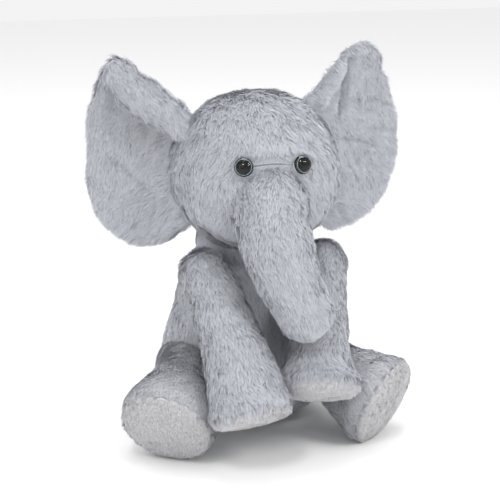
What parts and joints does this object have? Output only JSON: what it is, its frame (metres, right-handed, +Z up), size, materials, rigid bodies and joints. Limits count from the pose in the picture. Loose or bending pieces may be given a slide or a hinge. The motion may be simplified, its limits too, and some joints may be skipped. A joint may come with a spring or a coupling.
{
  "type": "stuffed elephant",
  "caption": "Seated plush elephant in long pale grey pile, with big cupped ears, a drooping trunk, round glossy eyes and soft stubby legs with flat soles.",
  "frame": {"origin": "on the ground at the middle of the flat seat", "axes": "+Z up, the elephant faces -Y, its right side is -X"},
  "size_m": [0.2091, 0.2098, 0.2502],
  "materials": {
    "pile_fabric": "long soft pale blue-grey pile",
    "short_pile": "shorter pale blue-grey pile",
    "sole_fabric": "short velvety pile",
    "tuft_yarn": "loose long pile",
    "stuffing": "white polyester fibre fill",
    "thread": "grey polyester thread",
    "label_satin": "blank white satin tape",
    "eye_black": "moulded black",
    "eye_ring": "blue-grey painted ring",
    "eye_clear": "clear polished dome",
    "washer_plastic": "natural polyethylene"
  },
  "bodies": {
    "torso": {"body_front_panel": "pile_fabric", "body_back_panel": "pile_fabric", "body_stuffing": "stuffing", "closing_stitches": "thread", "care_label": "label_satin"},
    "neck": {"neck_stuffing": "stuffing"},
    "head": {"head_right_panel": "pile_fabric", "head_left_panel": "pile_fabric", "head_stuffing": "stuffing", "right_eye_core": "eye_black", "right_eye_iris": "eye_ring", "right_eye_dome": "eye_clear", "right_eye_washer": "washer_plastic", "left_eye_core": "eye_black", "left_eye_iris": "eye_ring", "left_eye_dome": "eye_clear", "left_eye_washer": "washer_plastic"},
    "trunk": {"trunk_front_panel": "pile_fabric", "trunk_underside_panel": "pile_fabric", "trunk_stuffing": "stuffing"},
    "right_ear": {"right_ear_front": "pile_fabric", "right_ear_back": "pile_fabric"},
    "left_ear": {"left_ear_front": "pile_fabric", "left_ear_back": "pile_fabric"},
    "tail": {"tail_skin": "pile_fabric", "tail_tuft": "tuft_yarn"},
    "right_front_leg": {"right_front_leg_skin": "pile_fabric", "right_front_leg_stuffing": "stuffing", "right_front_sole": "sole_fabric"},
    "left_front_leg": {"left_front_leg_skin": "pile_fabric", "left_front_leg_stuffing": "stuffing", "left_front_sole": "sole_fabric"},
    "right_hind_leg": {"right_hind_leg_skin": "short_pile", "right_hind_leg_stuffing": "stuffing", "right_hind_sole": "sole_fabric"},
    "left_hind_leg": {"left_hind_leg_skin": "short_pile", "left_hind_leg_stuffing": "stuffing", "left_hind_sole": "sole_fabric"}
  },
  "joints": [
    {"name": "neck_turn", "type": "hinge", "parent": "torso", "child": "neck", "pos_m": [0, 0, 0.12], "axis": [0, 0, 1], "range_deg": [-6, 6], "stiffness_Nm_per_rad": 1},
    {"name": "head_nod", "type": "hinge", "parent": "neck", "child": "head", "pos_m": [0, 0, 0.12], "axis": [-1, 0, 0], "range_deg": [-2, 20], "stiffness_Nm_per_rad": 2},
    {"name": "trunk_lift", "type": "hinge", "parent": "head", "child": "trunk", "pos_m": [-0.0045, -0.058, 0.156], "axis": [-1, 0, 0], "range_deg": [0, 30], "stiffness_Nm_per_rad": 0.3},
    {"name": "right_ear_flap", "type": "hinge", "parent": "head", "child": "right_ear", "pos_m": [-0.0485, 0.0053, 0.172], "axis": [0, 0, 1], "range_deg": [-18, 18], "stiffness_Nm_per_rad": 0.08},
    {"name": "left_ear_flap", "type": "hinge", "parent": "head", "child": "left_ear", "pos_m": [0.05112, -0.00342, 0.172], "axis": [0, 0, 1], "range_deg": [-18, 18], "stiffness_Nm_per_rad": 0.08},
    {"name": "right_front_leg_swing", "type": "hinge", "parent": "torso", "child": "right_front_leg", "pos_m": [-0.041, -0.036, 0.11], "axis": [-0.7071, 0, -0.7071], "range_deg": [0, 60], "stiffness_Nm_per_rad": 0.3},
    {"name": "left_front_leg_swing", "type": "hinge", "parent": "torso", "child": "left_front_leg", "pos_m": [0.04, -0.036, 0.109], "axis": [-0.6, 0, 0.8], "range_deg": [0, 60], "stiffness_Nm_per_rad": 0.3},
    {"name": "right_hind_leg_spread", "type": "hinge", "parent": "torso", "child": "right_hind_leg", "pos_m": [-0.044, -0.002, 0.038], "axis": [0, 0, -1], "range_deg": [0, 22], "stiffness_Nm_per_rad": 0.3},
    {"name": "left_hind_leg_spread", "type": "hinge", "parent": "torso", "child": "left_hind_leg", "pos_m": [0.044, -0.002, 0.038], "axis": [0, 0, 1], "range_deg": [0, 22], "stiffness_Nm_per_rad": 0.3},
    {"name": "tail_swing", "type": "hinge", "parent": "torso", "child": "tail", "pos_m": [0, 0.047, 0.038], "axis": [0, 0, 1], "range_deg": [-30, 30], "stiffness_Nm_per_rad": 0.02}
  ]
}
